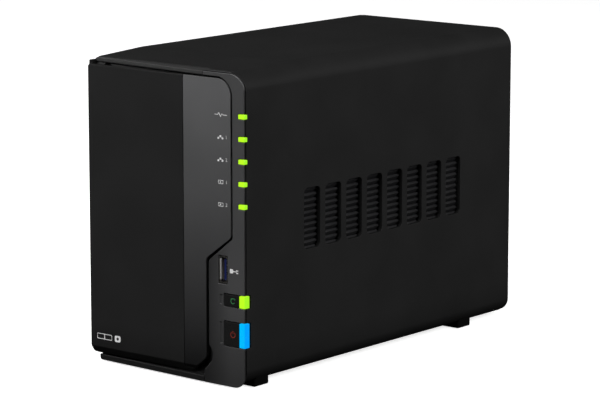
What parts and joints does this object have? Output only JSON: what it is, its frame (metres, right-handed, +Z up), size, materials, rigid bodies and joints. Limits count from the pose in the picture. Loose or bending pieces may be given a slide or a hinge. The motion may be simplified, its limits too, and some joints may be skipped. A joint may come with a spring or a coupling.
{
  "type": "nas enclosure",
  "caption": "Desktop network storage enclosure: black wrap-around shell, pull-off front cover over upright drive trays, side column with lights, buttons and a port, rear fan.",
  "frame": {"origin": "on the plane that the feet rest on, under the middle of the case", "axes": "+Z up, the front cover faces -Y, +X to the right as seen from the front"},
  "size_m": [0.108, 0.232, 0.165],
  "materials": {
    "shell_plastic": "fine matte texture, near black",
    "column_plastic": "satin dark grey",
    "inner_plastic": "plain moulded black",
    "release_plastic": "plain moulded grey",
    "button_plastic": "smooth black",
    "green_lens": "lit lime-green light guide",
    "blue_lens": "lit blue light guide",
    "sheet_steel": "zinc-coated sheet",
    "rubber": "matte rubber",
    "connector_metal": "nickel-plated sheet",
    "connector_insert": "blue insert",
    "circuit_board": "green solder mask",
    "screw_steel": "plated steel",
    "heatsink_metal": "extruded, plain"
  },
  "bodies": {
    "case": {"outer_cover": "shell_plastic", "side_vent_right": "shell_plastic", "side_vent_left": "shell_plastic", "base_pan": "sheet_steel", "foot_1": "rubber", "foot_2": "rubber", "foot_3": "rubber", "foot_4": "rubber", "front_bezel": "shell_plastic", "cover_grommet_1": "rubber", "cover_grommet_2": "rubber", "cover_grommet_3": "rubber", "cover_grommet_4": "rubber", "control_column": "column_plastic", "indicator_lens_1": "green_lens", "indicator_lens_2": "green_lens", "indicator_lens_3": "green_lens", "indicator_lens_4": "green_lens", "indicator_lens_5": "green_lens", "usb_front_shell": "connector_metal", "usb_front_tongue": "connector_insert", "control_board": "circuit_board", "drive_cage": "sheet_steel", "backplane": "circuit_board", "sata_connector_1": "inner_plastic", "sata_connector_2": "inner_plastic", "mainboard": "circuit_board", "memory_module": "circuit_board", "coin_cell": "screw_steel", "heatsink": "heatsink_metal", "io_board": "circuit_board", "lan_jack_1": "connector_metal", "lan_jack_2": "connector_metal", "usb_rear_shell": "connector_metal", "usb_rear_tongue": "connector_insert", "dc_jack": "inner_plastic", "rear_panel": "shell_plastic", "fan_screw_1": "screw_steel", "fan_screw_2": "screw_steel", "fan_screw_3": "screw_steel", "fan_screw_4": "screw_steel", "fan_frame": "inner_plastic"},
    "front_cover": {"front_cover_panel": "shell_plastic", "front_cover_trim": "column_plastic"},
    "tray_1": {"drive_tray_1": "inner_plastic", "tray_rail_1_lower": "inner_plastic", "tray_rail_1_upper": "inner_plastic"},
    "tray_2": {"drive_tray_2": "inner_plastic", "tray_rail_2_lower": "inner_plastic", "tray_rail_2_upper": "inner_plastic"},
    "handle_1": {"tray_handle_1": "inner_plastic"},
    "handle_2": {"tray_handle_2": "inner_plastic"},
    "release_1": {"tray_release_1": "release_plastic"},
    "release_2": {"tray_release_2": "release_plastic"},
    "power_button": {"power_button_cap": "button_plastic", "power_light_bar": "blue_lens"},
    "copy_button": {"copy_button_cap": "button_plastic", "copy_light_bar": "green_lens"},
    "reset": {"reset_button": "release_plastic"},
    "fan": {"fan_rotor": "inner_plastic"}
  },
  "joints": [
    {"name": "front_cover_pull", "type": "slide", "parent": "case", "child": "front_cover", "axis": [0, -1, 0], "range_m": [0, 0.3]},
    {"name": "tray_1_slide", "type": "slide", "parent": "case", "child": "tray_1", "axis": [0, -1, 0], "range_m": [0, 0.17]},
    {"name": "tray_1_handle_swing", "type": "hinge", "parent": "tray_1", "child": "handle_1", "pos_m": [-0.0315, -0.10645, 0.143], "axis": [-1, 0, 0], "range_deg": [0, 45]},
    {"name": "tray_1_release_press", "type": "slide", "parent": "tray_1", "child": "release_1", "axis": [0, 1, 0], "range_m": [0, 0.002], "stiffness_N_per_m": 300},
    {"name": "tray_2_slide", "type": "slide", "parent": "case", "child": "tray_2", "axis": [0, -1, 0], "range_m": [0, 0.17]},
    {"name": "tray_2_handle_swing", "type": "hinge", "parent": "tray_2", "child": "handle_2", "pos_m": [0.0045, -0.10645, 0.143], "axis": [-1, 0, 0], "range_deg": [0, 45]},
    {"name": "tray_2_release_press", "type": "slide", "parent": "tray_2", "child": "release_2", "axis": [0, 1, 0], "range_m": [0, 0.002], "stiffness_N_per_m": 300},
    {"name": "power_button_press", "type": "slide", "parent": "case", "child": "power_button", "axis": [0, 1, 0], "range_m": [0, 0.0008], "stiffness_N_per_m": 400},
    {"name": "copy_button_press", "type": "slide", "parent": "case", "child": "copy_button", "axis": [0, 1, 0], "range_m": [0, 0.0008], "stiffness_N_per_m": 400},
    {"name": "reset_button_press", "type": "slide", "parent": "case", "child": "reset", "axis": [0, -1, 0], "range_m": [0, 0.0005], "stiffness_N_per_m": 300},
    {"name": "fan_spin", "type": "hinge", "parent": "case", "child": "fan", "pos_m": [0, 0.099, 0.108], "axis": [0, 1, 0], "continuous": true}
  ],
  "couplings": [
    {"joint": "tray_1_slide", "follows": "front_cover_pull", "ratio": 0.56},
    {"joint": "tray_1_handle_swing", "follows": "front_cover_pull", "rad_per_m": 2.6},
    {"joint": "tray_2_slide", "follows": "front_cover_pull", "ratio": 0.56},
    {"joint": "tray_2_handle_swing", "follows": "front_cover_pull", "rad_per_m": 2.6}
  ]
}
